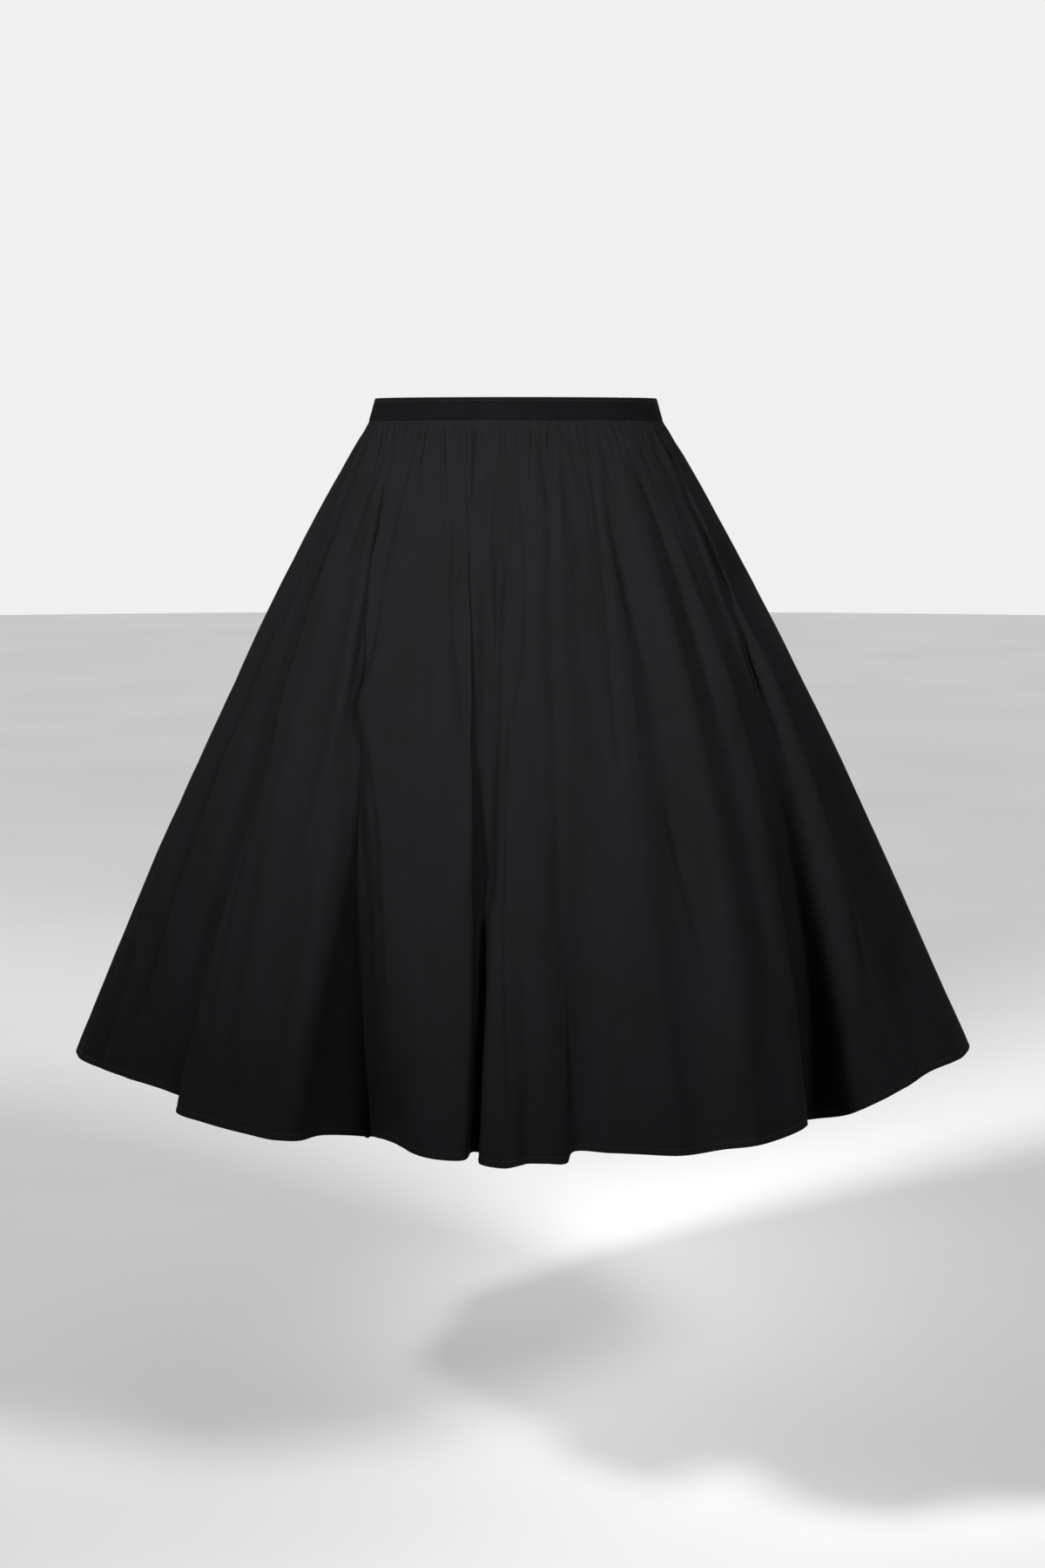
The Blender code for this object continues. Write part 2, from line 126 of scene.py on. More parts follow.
# The folds, the model's own table: gathers to the next line, where the line meets
# the hem (0 at centre front, 90 at the left side seam), its push out of the plain
# oval at the hem and half way down, the hem's rise, and its bow to the side half
# way down.
Fold = namedtuple("Fold", "gathers hem_deg out_mm mid_mm rise_mm side_mm")
FRONT_FOLDS = (
    Fold(1, -90, -11, -2, 12, 0),
    Fold(1, -80, -13, -2, 12, 0),
    Fold(1, -70, -27, -6, 14, 0),
    Fold(1, -60, -38, 2, 15, 10),
    Fold(1, -51.5, -41, -6, 15, 4),
    Fold(1, -48, -44, -4, 11, 0),
    Fold(1, -46, -19, 5, 8, 0),
    Fold(1, -40, -14, 3, 6, 0),
    Fold(1, -33, -9, 4, 4.5, 0),
    Fold(1, -27.5, -9, 6, 2.5, 4),
    Fold(1, -25.8, -48, 14, 0, 6),
    Fold(1, -23, -108, 40, -13, 5),
    Fold(2, -19.6, -84, 30, -7, -6),
    Fold(2, -13, -26, 14, 1.5, -28),
    Fold(2, -9.2, -1, 3, 0, -15),
    Fold(1, -5.7, 1, 3, 0, 8),
    Fold(1, -5.1, -26, 8, 0, 6),
    Fold(1, -4.3, -36, 10, -3, 7),
    Fold(2, -3.65, 6, -4, -2, 8),
    Fold(1, -1, 13, -7, -3, 4),
    Fold(2, 1.2, 4, 2, -2, 0),
    Fold(1, 3.4, 7, 2, -1, 0),
    Fold(1, 5.6, 0, 3, -2.8, 0),
    Fold(2, 6.6, -14, 12, 3, 0),
    Fold(2, 11, -12, 9, 1.5, 0),
    Fold(1, 18, 4, 3, 0, 0),
    Fold(1, 23.5, 1, -4, 1, 2),
    Fold(2, 27.5, 4, 7, 1.5, 12),
    Fold(2, 33, -6, -1, 3, 10),
    Fold(2, 37.3, -18, 4, 5, 22),
    Fold(1, 48.5, -114, 36, -22, 8),
    Fold(1, 56, -106, 32, -24, -4),
    Fold(1, 51.2, -47, 6, -4, 25),
    Fold(2, 61, -31, 6, 8, 0),
    Fold(1, 68, -23, -15, 14.5, 0),
    Fold(2, 79, -4, 0, 14, 0),
)
BACK_FOLDS = (
    Fold(2, 90, 3, -5, 13, 0),
    Fold(1, 99, -14, 0, 13, 0),
    Fold(2, 108, -34, -6, 12, 6),
    Fold(2, 114, -14, 2, 10, 8),
    Fold(3, 121, -6, 4, 8, 4),
    Fold(1, 129, -16, 2, 7, 0),
    Fold(1, 133, -62, 12, 1, -8),
    Fold(1, 139, -58, 10, 0, -12),
    Fold(2, 144, -12, 2, 4, -16),
    Fold(3, 151, 1, 4, 3, -6),
    Fold(1, 160, -8, 3, 2, 0),
    Fold(1, 164, -46, 8, 0, 6),
    Fold(1, 168, -40, 6, -1, 8),
    Fold(3, 173, -6, 0, 0, 2),
    Fold(3, 180, -2, 0, 0, 0),
    Fold(2, 188, -5, 0, 1, -3),
    Fold(1, 193, -44, 7, -1, -9),
    Fold(1, 198, -56, 10, 0, -6),
    Fold(2, 203, -14, 2, 3, 0),
    Fold(3, 210, 0, 4, 4, 8),
    Fold(2, 219, -8, 3, 5, 14),
    Fold(1, 225, -56, 12, 3, 12),
    Fold(2, 231, -54, 8, 4, 4),
    Fold(2, 237, -14, 2, 9, 0),
    Fold(2, 246, -8, 3, 10, -8),
    Fold(1, 254, -26, -4, 12, -6),
    Fold(2, 261, -24, -3, 12, 0),
)
FOLDS = FRONT_FOLDS + BACK_FOLDS
FRONT_GATHERS = sum(fold.gathers for fold in FRONT_FOLDS)
GATHERS = sum(fold.gathers for fold in FOLDS)
BACK_CENTRE_GATHER = FRONT_GATHERS + (GATHERS - FRONT_GATHERS) // 2

# The creases that lie on those folds, one row a soft ridge (depth above 0) or
# trough: the share of the drop and the angle where it starts and ends, how far it
# bows sideways half way, its depth, and its width on each side of its line.
Crease = namedtuple("Crease", "start start_deg end end_deg bow_deg depth_mm left_mm right_mm")
FRONT_CREASES = (
    Crease(0.02, -80, 0.34, -73, 1, -3.0, 7, 8),
    Crease(0.28, -79, 0.93, -63.5, 0, -6.5, 15, 5),
    Crease(0.45, -71, 1.00, -61.5, 0, 4.0, 11, 14),
    Crease(0.10, -71, 0.90, -54, 3, -6.0, 13, 5),
    Crease(0.30, -61, 0.96, -50.5, 1.5, 5.0, 5, 14),
    Crease(0.42, -51, 0.94, -43.5, 0.5, -5.0, 10, 7),
    Crease(0.16, -51.5, 0.98, -35.5, 1.7, 6.0, 14, 13),
    Crease(0.02, -54, 0.26, -48, 1, -2.6, 6, 6),
    Crease(0.05, -47, 0.68, -33, 4.5, 5.0, 13, 4),
    Crease(0.36, -28.5, 1.00, -27.5, -0.5, 9.0, 13, 10),
    Crease(0.14, -40.5, 0.84, -16.0, 4.5, 4.5, 4, 18),
    Crease(0.30, -28.0, 1.00, -23.5, 0.8, 8.0, 9, 10),
    Crease(0.04, -38, 0.30, -33.5, 1.5, -2.6, 6, 4),
    Crease(0.00, -20, 0.50, -6.9, -0.8, -3.2, 4, 7),
    Crease(0.20, -15, 1.00, -11, 0, 4.0, 16, 13),
    Crease(0.02, -13, 0.16, -11, 0, -1.3, 4, 5),
    Crease(0.02, -6, 0.22, -5, 0, -1.8, 4, 6),
    Crease(0.16, -3.9, 0.70, -3.3, 0, -7.5, 13, 4.5),
    Crease(0.03, 0.5, 0.44, 0.0, 2.5, 4.6, 3.5, 34),
    Crease(0.38, -0.5, 1.00, 0.0, -0.8, 4.6, 3.5, 26),
    Crease(0.02, 9, 0.12, 9.5, 0, -1.2, 4, 4),
    Crease(0.03, 15, 0.18, 14, 0, -1.2, 4, 5),
    Crease(0.03, 25.7, 0.52, 17.3, -1.3, -2.8, 6, 3.5),
    Crease(0.56, 10, 1.00, 10.5, 0, -3.0, 16, 12),
    Crease(0.66, 14, 1.00, 15, 0, 4.0, 12, 13),
    Crease(0.05, 26, 0.78, 26, 1.5, -2.4, 8, 12),
    Crease(0.52, 24.9, 0.80, 26.8, -0.3, -2.6, 3, 4),
    Crease(0.10, 32.5, 0.97, 26.5, 1.2, 5.0, 11, 17),
    Crease(0.60, 21, 1.00, 21, 0, -3.2, 14, 16),
    Crease(0.04, 43, 0.48, 38, 2.5, -4.0, 9, 6),
    Crease(0.16, 47, 0.44, 46.7, 0, 4.0, 10, 4),
    Crease(0.26, 58.5, 0.62, 53.5, 0, 4.4, 15, 4),
    Crease(0.02, 56, 0.30, 66, 1, -2.6, 6, 8),
    Crease(0.28, 66, 0.92, 56.5, 0.5, 4.6, 12, 9),
    Crease(0.50, 67, 0.84, 59.5, 0, -3.4, 3, 4),
    Crease(0.12, 78, 0.82, 76, -2.3, -4.4, 9, 12),
    Crease(0.03, 68, 0.26, 79, 0, -2.0, 6, 7),
    Crease(0.80, -77, 1.00, -72, 0, -3.0, 7, 9),
    Crease(0.80, 72, 1.00, 76, 0, -2.6, 9, 10),
)
BACK_CREASES = (
    Crease(0.02, 95, 0.36, 99, 1, -2.4, 6, 8),
    Crease(0.10, 103, 0.80, 108, -2, -3.6, 10, 10),
    Crease(0.06, 112, 0.92, 116, 2, 3.8, 12, 14),
    Crease(0.02, 118, 0.26, 117, 0, -2.0, 5, 6),
    Crease(0.24, 124, 0.96, 123, 1, 3.2, 14, 10),
    Crease(0.01, 127, 0.50, 131, 1.5, -4.2, 6, 8),
    Crease(0.40, 141, 1.00, 141, 1, 3.0, 10, 12),
    Crease(0.02, 138, 0.24, 137, 0, -1.8, 5, 5),
    Crease(0.05, 146, 0.78, 147, 2, 3.8, 5, 24),
    Crease(0.08, 152, 0.46, 154, 0, -2.4, 7, 7),
    Crease(0.30, 156, 1.00, 157, 1, 2.8, 12, 10),
    Crease(0.02, 160, 0.30, 161, 0, -2.4, 5, 6),
    Crease(0.12, 170, 0.90, 171, -1, 3.2, 12, 12),
    Crease(0.42, 178, 1.00, 177, 0, -2.4, 14, 14),
    Crease(0.10, 188, 0.86, 189, 1, 3.4, 13, 11),
    Crease(0.02, 196, 0.34, 195, 0, -2.8, 6, 6),
    Crease(0.01, 203, 0.62, 206, 1.5, 3.6, 22, 5),
    Crease(0.18, 212, 0.88, 214, 0, 3.0, 12, 14),
    Crease(0.02, 214, 0.28, 212, 0, -1.9, 5, 5),
    Crease(0.02, 221, 0.52, 220, 1.5, -4.4, 7, 8),
    Crease(0.36, 233, 1.00, 235, 1, 3.4, 12, 10),
    Crease(0.06, 229, 0.40, 227, 0, -2.2, 6, 7),
    Crease(0.10, 239, 0.82, 243, 2, 3.8, 12, 15),
    Crease(0.03, 244, 0.30, 241, 0, -2.2, 5, 6),
    Crease(0.20, 251, 0.84, 250, 1, -3.0, 10, 12),
    Crease(0.02, 256, 0.36, 252, 0, -2.2, 6, 7),
    Crease(0.28, 263, 0.94, 264, 0, 3.0, 14, 12),
)
CREASE_END = 0.14

# How strong the gathers are round the waist
Strength = namedtuple("Strength", "deg share")
GATHER_STRENGTHS = (
    Strength(-90, 0.7),
    Strength(-60, 1.0),
    Strength(0, 1.0),
    Strength(20, 0.65),
    Strength(50, 0.5),
    Strength(90, 0.6),
    Strength(120, 1.0),
    Strength(250, 1.0),
    Strength(270, 0.7),
)

# Fine unevenness of the hanging cloth: waves round the skirt, and how high they are
Ripple = namedtuple("Ripple", "waves height_mm turns")
RIPPLES = (
    Ripple(23, 0.8, 1.1),
    Ripple(37, 0.7, 1.9),
    Ripple(61, 0.45, 2.7),
    Ripple(97, 0.28, 4.1),
    Ripple(151, 0.16, 6.3),
)
RIPPLE_START = 0.04
RIPPLE_DRIFT = 1.6
RIPPLE_PATCHES = 5.0
RIPPLE_LEVEL = 0.6

# Zip behind the centre-back seam
ZIP_TOP = 0.0095
ZIP_BAND_ROWS = 9
ZIP_CLOTH_START = 0.008
ZIP_END_SHARE = 0.30
TAPE_THICKNESS = 0.0008
TAPE_INSET = 0.0019

# One tape's columns, from the teeth to its outer edge, and its two woven ribs
TAPE_COLUMNS = (0.0008, 0.0012, 0.0019, 0.0026, 0.0031, 0.0050, 0.0075, 0.0098, 0.0104, 0.0110)
Rib = namedtuple("Rib", "place height width")
TEETH_RIB = Rib(0.0019, 0.00035, 0.0007)
EDGE_RIB = Rib(0.0102, 0.0001, 0.0005)

# Teeth
TOOTH_PITCH = 0.0015
TOOTH_REACH = 0.0030
TOOTH_OVERLAP = 0.0006
TOOTH_WIDTH = 0.0006
TOOTH_DEPTH = 0.0010
TOOTH_BEVEL = 0.00018
TEETH_INSET = 0.0031
TEETH_TOP = -0.0012

# Sewing
STITCH_PITCH = 0.0030
STITCH_LENGTH = 0.0023
STITCH_RADIUS = 0.00024
STITCH_SIDES = 6

# The rings of one stitch: the share of its length, its size, and its lift in radii
Station = namedtuple("Station", "share size lift")
STITCH_STATIONS = (
    Station(0.0, 0.35, -0.6),
    Station(0.18, 0.9, 0.1),
    Station(0.5, 1.0, 0.35),
    Station(0.82, 0.9, 0.1),
    Station(1.0, 0.35, -0.6),
)

# Colours, each a dark and a light that the cloth or thread varies between. Those of
# # the skirt and band are deeper than real cotton's, to match the photo's exposure. The band's are
# # about half the skirt's: that extra darkness on the band is painted shade.
SKIRT_COLOURS = ((0.00262, 0.00256, 0.00275), (0.0032, 0.0029, 0.0036))
BAND_COLOURS_WITH_PAINTED_SHADE = ((0.0014, 0.00125, 0.0015), (0.0018, 0.0016, 0.0020))
TAPE_COLOURS = ((0.0070, 0.0070, 0.0076), (0.0105, 0.0105, 0.0110))
THREAD_COLOURS = ((0.0050, 0.0048, 0.0052), (0.0080, 0.0077, 0.0083))
ENAMEL_COLOURS = ((0.012, 0.012, 0.013), (0.060, 0.058, 0.056))
TEETH_COLOURS = ((0.010, 0.010, 0.011), (0.017, 0.017, 0.018))
FLOOR_COLOURS = ((0.62, 0.62, 0.625), (0.66, 0.66, 0.66))
SHEEN_COLOUR = (0.62, 0.60, 0.64)

# The weave: thread spacing, how often each noise varies across and down a metre of
# cloth, how much each adds to the relief, the relief's height and strength, and the
# cloth's faint gloss
CLOTH_THREAD = 0.0006
TAPE_THREAD = 0.0008
CRUMPLE_SCALE = (55.0, 40.0, 1.0)
STREAK_SCALE = (14.0, 520.0, 1.0)
HEM_WRINKLE_SCALE = (26.0, 150.0, 1.0)
CLOUD_SCALE = (16.0, 9.0, 1.0)
WEAVE_SHARE = 0.35
CRUMPLE_SHARE = 2.2
STREAK_SHARE = 1.3
CLOTH_BUMP = 0.00026
CLOTH_BUMP_STRENGTH = 0.6
CLOTH_SPECULAR = 0.012

# Floor
FLOOR_HEIGHT = -1.06
FLOOR_RADIUS = 14.0
FLOOR_SIDES = 96

# Camera: its lens and its tilt as pixels of the photo, which is 1800 pixels high
CAMERA_PLACE = (0.006, -2.6, -0.0235)
PHOTO_HEIGHT_PX = 1800
FOCAL_LENGTH_PX = 3210
TILT_PX = 400
SENSOR_MM = 36

# Two soft lamps in front and one behind, and the pale surround
Lamp = namedtuple("Lamp", "name place aim half_angle_deg softness power")
LAMPS = (
    Lamp("key", (-1.60, -2.10, 1.45), (0.10, -0.1, -0.10), 14.5, 0.22, 1330),
    Lamp("fill", (1.20, -2.40, 1.30), (0.02, -0.1, -0.08), 15, 0.45, 980),
    Lamp("back", (0.0, 2.7, 1.15), (0.0, 0.1, -0.10), 15, 0.35, 1300),
)
SURROUND_COLOUR = (0.97, 0.97, 0.97)
SURROUND_STRENGTH = 0.9


def smooth(share):
    """Ease from 0 to 1 over 0..1."""
    held = np.clip(share, 0.0, 1.0)
    return held * held * (3.0 - 2.0 * held)


def oval(degrees, half_width, half_depth):
    """Points of an oval in plan, 0 degrees at centre front, 90 at +X."""
    angle = np.radians(degrees)
    return np.stack([half_width * np.sin(angle), -half_depth * np.cos(angle)], axis=-1)


def unit(vectors):
    """The vectors at length 1."""
    return vectors / np.linalg.norm(vectors, axis=-1, keepdims=True)


def oval_outward(degrees, half_width, half_depth):
    """Unit vectors that point straight out of the oval."""
    angle = np.radians(degrees)
    return unit(np.stack([np.sin(angle) / half_width, -np.cos(angle) / half_depth], axis=-1))


def ring_curve(points, steps):
    """A closed centripetal curve through the points, with steps[i] points from i on."""
    count = len(points)
    reach = np.linalg.norm(np.roll(points[:, :2], -1, axis=0) - points[:, :2], axis=1)
    span = np.sqrt(reach)
    slope = (np.roll(points, -1, axis=0) - points) / span[:, None]
    before = np.roll(span, 1)[:, None]
    after = span[:, None]
    tangent = (np.roll(slope, 1, axis=0) * after + slope * before) / (before + after)
    curve = []
    for i in range(count):
        j = (i + 1) % count
        v = (np.arange(steps[i]) / steps[i])[:, None]
        start = 2 * v**3 - 3 * v**2 + 1
        leave = (v**3 - 2 * v**2 + v) * span[i]
        end = 3 * v**2 - 2 * v**3
        arrive = (v**3 - v**2) * span[i]
        curve.append(start * points[i] + leave * tangent[i] + end * points[j] + arrive * tangent[j])
    return np.concatenate(curve)


def fold_ring():
    """For each column: gather, waist point, hem point, mid push, mid bow, hem rise."""
    hem_deg = np.array([fold.hem_deg for fold in FOLDS], dtype=float)
    out = np.array([fold.out_mm for fold in FOLDS])[:, None] * MM
    hem = oval(hem_deg, HEM_HALF_WIDTH, HEM_HALF_DEPTH)
    hem = hem + out * oval_outward(hem_deg, HEM_HALF_WIDTH, HEM_HALF_DEPTH)
    extra = np.array([(fold.mid_mm, fold.rise_mm, fold.side_mm) for fold in FOLDS]) * MM
    steps = [fold.gathers * COLUMNS_PER_GATHER for fold in FOLDS]
    ring = ring_curve(np.concatenate([hem, extra], axis=1), steps)
    gather = np.arange(len(ring)) / COLUMNS_PER_GATHER
    waist_deg = -90.0 + 360.0 * gather / GATHERS
    waist = oval(waist_deg, BAND_BOTTOM_HALF_WIDTH, BAND_BOTTOM_HALF_DEPTH)
    return gather, waist, ring[:, :2], ring[:, 2:3], ring[:, 4:5], ring[:, 3]


def spread_of(share):
    """How far the cloth has gone from its waist oval towards its hem."""
    return share + FLARE * share**FLARE_POWER * (1.0 - share)


def cloth_shares():
    """Heights of the rows: close at the gathers and at the hem, wider between."""
    top = np.arange(0.0, GATHER_ROWS_END, GATHER_ROW)
    upper = np.arange(GATHER_ROWS_END, UPPER_ROWS_END, UPPER_ROW)
    hem = 1.0 - np.array(HEM_ROWS[::-1]) / SLANT_LENGTH
    rest = np.linspace(UPPER_ROWS_END, hem[0], LOWER_ROWS)[:-1]
    return np.concatenate([top, upper, rest, hem])


def column_degrees(shares, gather):
    """The angle of every grid point round the skirt, as the creases are given."""
    starts = np.cumsum([0] + [fold.gathers for fold in FOLDS])
    ends = [fold.hem_deg for fold in FOLDS] + [270.0]
    hem_deg = np.interp(gather, starts, ends)
    waist_deg = -90.0 + 360.0 * gather / GATHERS
    spread = spread_of(shares)[:, None]
    waist_pull = (1.0 - spread) * BAND_BOTTOM_HALF_WIDTH
    hem_pull = spread * HEM_HALF_WIDTH
    return (waist_pull * waist_deg + hem_pull * hem_deg) / (waist_pull + hem_pull)


def crease_relief(shares, degrees, radius):
    """How far the creases push the cloth out at every grid point."""
    relief = np.zeros_like(degrees)
    for crease in FRONT_CREASES + BACK_CREASES:
        along = (shares - crease.start) / (crease.end - crease.start)
        line = crease.start_deg + (crease.end_deg - crease.start_deg) * along
        line = line + crease.bow_deg * 4.0 * along * (1.0 - along)
        aside = (degrees - line[:, None] + 180.0) % 360.0 - 180.0
        offset = np.radians(aside) * radius[:, None]
        width = np.where(offset < 0, crease.left_mm, crease.right_mm) * MM
        profile = np.exp(-((offset / width) ** 2))
        rise = smooth(along / CREASE_END)
        fall = 1.0 if crease.end >= 1.0 else 1.0 - smooth((along - 1.0) / CREASE_END + 1.0)
        relief += crease.depth_mm * MM * profile * (rise * fall)[:, None]
    return relief


def gather_relief(shares, gather):
    """The gathers' valleys under the waist seam, each with its own depth and length."""
    random = np.random.default_rng(SEED)
    depth = GATHER_DEPTH * random.uniform(GATHER_SHALLOWEST, GATHER_DEEPEST, GATHERS + 1)
    chance = random.random(GATHERS + 1) ** GATHER_LENGTH_POWER
    length = GATHER_SHORTEST + (GATHER_LONGEST - GATHER_SHORTEST) * chance
    phase = random.uniform(0.0, 2.0 * np.pi, GATHERS + 1)
    fall = shares[:, None]
    slow = np.interp(gather, np.arange(GATHERS + 1), phase)
    sway = GATHER_SWAY * np.sin(slow + GATHER_SWAY_RATE * fall) * smooth(fall / GATHER_SWAY_START)
    swayed = gather + sway
    cell = np.clip(np.floor(swayed).astype(int), 0, GATHERS)
    valley = np.abs(np.sin(np.pi * (swayed - cell))) ** GATHER_SHARPNESS
    swell = GATHER_SEAM_SHARE + (1.0 - GATHER_SEAM_SHARE) * smooth(fall / GATHER_RISE)
    fade = 1.0 - smooth(fall / length[cell])
    waist_deg = -90.0 + 360.0 * gather / GATHERS
    strength = np.interp(waist_deg, [row.deg for row in GATHER_STRENGTHS],
                         [row.share for row in GATHER_STRENGTHS])
    from_zip = np.abs(gather - BACK_CENTRE_GATHER)
    calm = smooth((from_zip - FLAT_GATHERS_AT_ZIP) / FLAT_GATHERS_AT_ZIP)
    return -depth[cell] * valley * swell * fade * strength * calm


def ripple_relief(shares, degrees):
    """Small unevenness that runs down the cloth and drifts sideways."""
    random = np.random.default_rng(SEED + 1)
    fall = shares[:, None]
    angle = np.radians(degrees)
    relief = np.zeros_like(degrees)
    for ripple in RIPPLES:
        phase, swing, beat = random.uniform(0.0, 2.0 * np.pi, 3)
        drift = RIPPLE_DRIFT * np.sin(ripple.turns * 2.0 * np.pi * fall + swing)
        patches = np.sin(angle * RIPPLE_PATCHES + beat + 3.0 * fall)
        level = RIPPLE_LEVEL + (1.0 - RIPPLE_LEVEL) * patches
        relief += ripple.height_mm * MM * level * np.sin(ripple.waves * angle + phase + drift)
    return relief * smooth(fall / RIPPLE_START)


def outward_of(grid):
    """Unit vectors out of the cloth at every grid point."""
    down = np.gradient(grid, axis=0)
    across = np.roll(grid, -1, axis=1) - np.roll(grid, 1, axis=1)
    return unit(np.cross(across, -down))


def cloth_grid():
    """The cloth's creased mid surface, rows by columns, and its rows' shares."""
    gather, waist, hem, mid, side, rise = fold_ring()
    shares = cloth_shares()
    top = -BAND_HEIGHT / 2 - SEAM_GAP
    rows = []
    for share in shares:
        spread = spread_of(share)
        plan = (1.0 - spread) * waist + spread * hem
        outward = unit(plan)
        onward = np.stack([-outward[:, 1], outward[:, 0]], axis=1)
        plan = plan + (outward * mid + onward * side) * 4.0 * share * (1.0 - share)
        height = top - share * (SEAM_TO_HEM - SEAM_GAP) + rise * share
        rows.append(np.concatenate([plan, height[:, None]], axis=1))
    grid = np.array(rows)
    grid[0, :, 2] += SEAM_TUCK
    spread = spread_of(shares)
    radius = (1.0 - spread) * BAND_BOTTOM_HALF_WIDTH + spread * HEM_HALF_WIDTH
    bow = side[None, :, 0] * (4.0 * shares * (1.0 - shares) / radius)[:, None]
    degrees = column_degrees(shares, gather) + np.degrees(bow)
    relief = crease_relief(shares, degrees, radius) + ripple_relief(shares, degrees)
    relief += gather_relief(shares, gather)
    return grid + outward_of(grid) * relief[:, :, None], shares


class Nodes:
    """A short way to build a material's nodes."""

    def __init__(self, name):
        self.material = bpy.data.materials.new(name)
        self.material.use_nodes = True
        self.tree = self.material.node_tree
        self.shader = self.tree.nodes["Principled BSDF"]

    def add(self, kind, **settings):
        made = self.tree.nodes.new(kind)
        for key, value in settings.items():
            setattr(made, key, value)
        return made

    def join(self, source, target):
        self.tree.links.new(source, target)

    def math(self, operation, *values):
        made = self.add("ShaderNodeMath", operation=operation)
        for i, value in enumerate(values):
            if isinstance(value, (int, float)):
                made.inputs[i].default_value = value
            else:
                self.join(value, made.inputs[i])
        return made.outputs[0]

    def stretched(self, coordinates, scale):
        made = self.add("ShaderNodeMapping")
        made.inputs["Scale"].default_value = scale
        self.join(coordinates, made.inputs["Vector"])
        return made.outputs["Vector"]

    def noise(self, coordinates, scale, detail=2.0, roughness=0.5):
        made = self.add("ShaderNodeTexNoise")
        made.inputs["Scale"].default_value = 1.0
        made.inputs["Detail"].default_value = detail
        made.inputs["Roughness"].default_value = roughness
        self.join(self.stretched(coordinates, scale), made.inputs["Vector"])
        return made.outputs["Fac"]

    def ranged(self, value, low, high, to_low, to_high):
        made = self.add("ShaderNodeMapRange")
        limits = {"From Min": low, "From Max": high, "To Min": to_low, "To Max": to_high}
        for key, number in limits.items():
            made.inputs[key].default_value = number
        self.join(value, made.inputs["Value"])
        return made.outputs["Result"]

    def colour(self, factor, colours):
        made = self.add("ShaderNodeMix", data_type="RGBA")
        made.inputs["A"].default_value = (*colours[0], 1.0)
        made.inputs["B"].default_value = (*colours[1], 1.0)
        self.join(factor, made.inputs["Factor"])
        self.join(made.outputs["Result"], self.shader.inputs["Base Color"])

    def roughness(self, factor, smoothest, roughest):
        self.join(self.ranged(factor, 0.3, 0.7, smoothest, roughest), self.shader.inputs["Roughness"])

    def bump(self, height, distance, strength):
        made = self.add("ShaderNodeBump")
        made.inputs["Distance"].default_value = distance
        made.inputs["Strength"].default_value = strength
        self.join(height, made.inputs["Height"])
        self.join(made.outputs["Normal"], self.shader.inputs["Normal"])

    def constants(self, **values):
        for key, value in values.items():
            self.shader.inputs[key.replace("_", " ")].default_value = value


def cloth_material(name, colours, sheen, thread):
    """Fine plain-woven cotton. Its threads follow the cloth's own metres."""
    nodes = Nodes(name)
    metres = nodes.add("ShaderNodeAttribute", attribute_name="cloth_m").outputs["Vector"]
    split = nodes.add("ShaderNodeSeparateXYZ")
    nodes.join(metres, split.inputs[0])
    turns = 2.0 * math.pi / thread
    warp = nodes.math("SINE", nodes.math("MULTIPLY", split.outputs[0], turns))
    weft = nodes.math("SINE", nodes.math("MULTIPLY", split.outputs[1], turns))
    weave = nodes.math("MULTIPLY", warp, weft)
    down_slub = nodes.noise(metres, (0.7 / thread, 0.02 / thread, 1.0), detail=3.0)
    across_slub = nodes.noise(metres, (0.02 / thread, 0.7 / thread, 1.0), detail=3.0)
    slub = nodes.math("ADD", down_slub, across_slub)
    crumple = nodes.noise(metres, CRUMPLE_SCALE, detail=4.0, roughness=0.6)
    streak = nodes.noise(metres, STREAK_SCALE, detail=2.0)
    wrinkle = nodes.noise(metres, HEM_WRINKLE_SCALE, detail=2.0)
    low = nodes.ranged(split.outputs[1], HEM_WRINKLE_TOP, SLANT_LENGTH, 0.0, HEM_WRINKLE_STRENGTH)
    height = slub
    reliefs = ((weave, WEAVE_SHARE), (crumple, CRUMPLE_SHARE), (streak, STREAK_SHARE), (wrinkle, low))
    for noise, share in reliefs:
        height = nodes.math("ADD", height, nodes.math("MULTIPLY", noise, share))
    nodes.bump(height, CLOTH_BUMP, CLOTH_BUMP_STRENGTH)
    cloud = nodes.noise(metres, CLOUD_SCALE, detail=4.0, roughness=0.6)
    shade = nodes.math("ADD", nodes.math("MULTIPLY", slub, 0.25), nodes.math("MULTIPLY", cloud, 0.8))
    nodes.colour(nodes.ranged(shade, 0.50, 0.80, 0.0, 1.0), colours)
    nodes.roughness(crumple, 0.74, 0.90)
    nodes.constants(Sheen_Weight=sheen, Sheen_Roughness=0.5, Sheen_Tint=(*SHEEN_COLOUR, 1.0),
                    Specular_IOR_Level=CLOTH_SPECULAR)
    return nodes.material


def thread_material(name):
    """Sewing thread, twisted, with a little more gloss than the cloth."""
    nodes = Nodes(name)
    place = nodes.add("ShaderNodeTexCoord").outputs["Object"]
    fuzz = nodes.noise(place, (2600.0, 2600.0, 2600.0), detail=2.0)
    nodes.colour(nodes.ranged(fuzz, 0.3, 0.7, 0.0, 1.0), THREAD_COLOURS)
    nodes.roughness(fuzz, 0.5, 0.7)
    nodes.bump(fuzz, 0.00006, 0.5)
    nodes.constants(Sheen_Weight=0.02, Specular_IOR_Level=0.05)
    return nodes.material


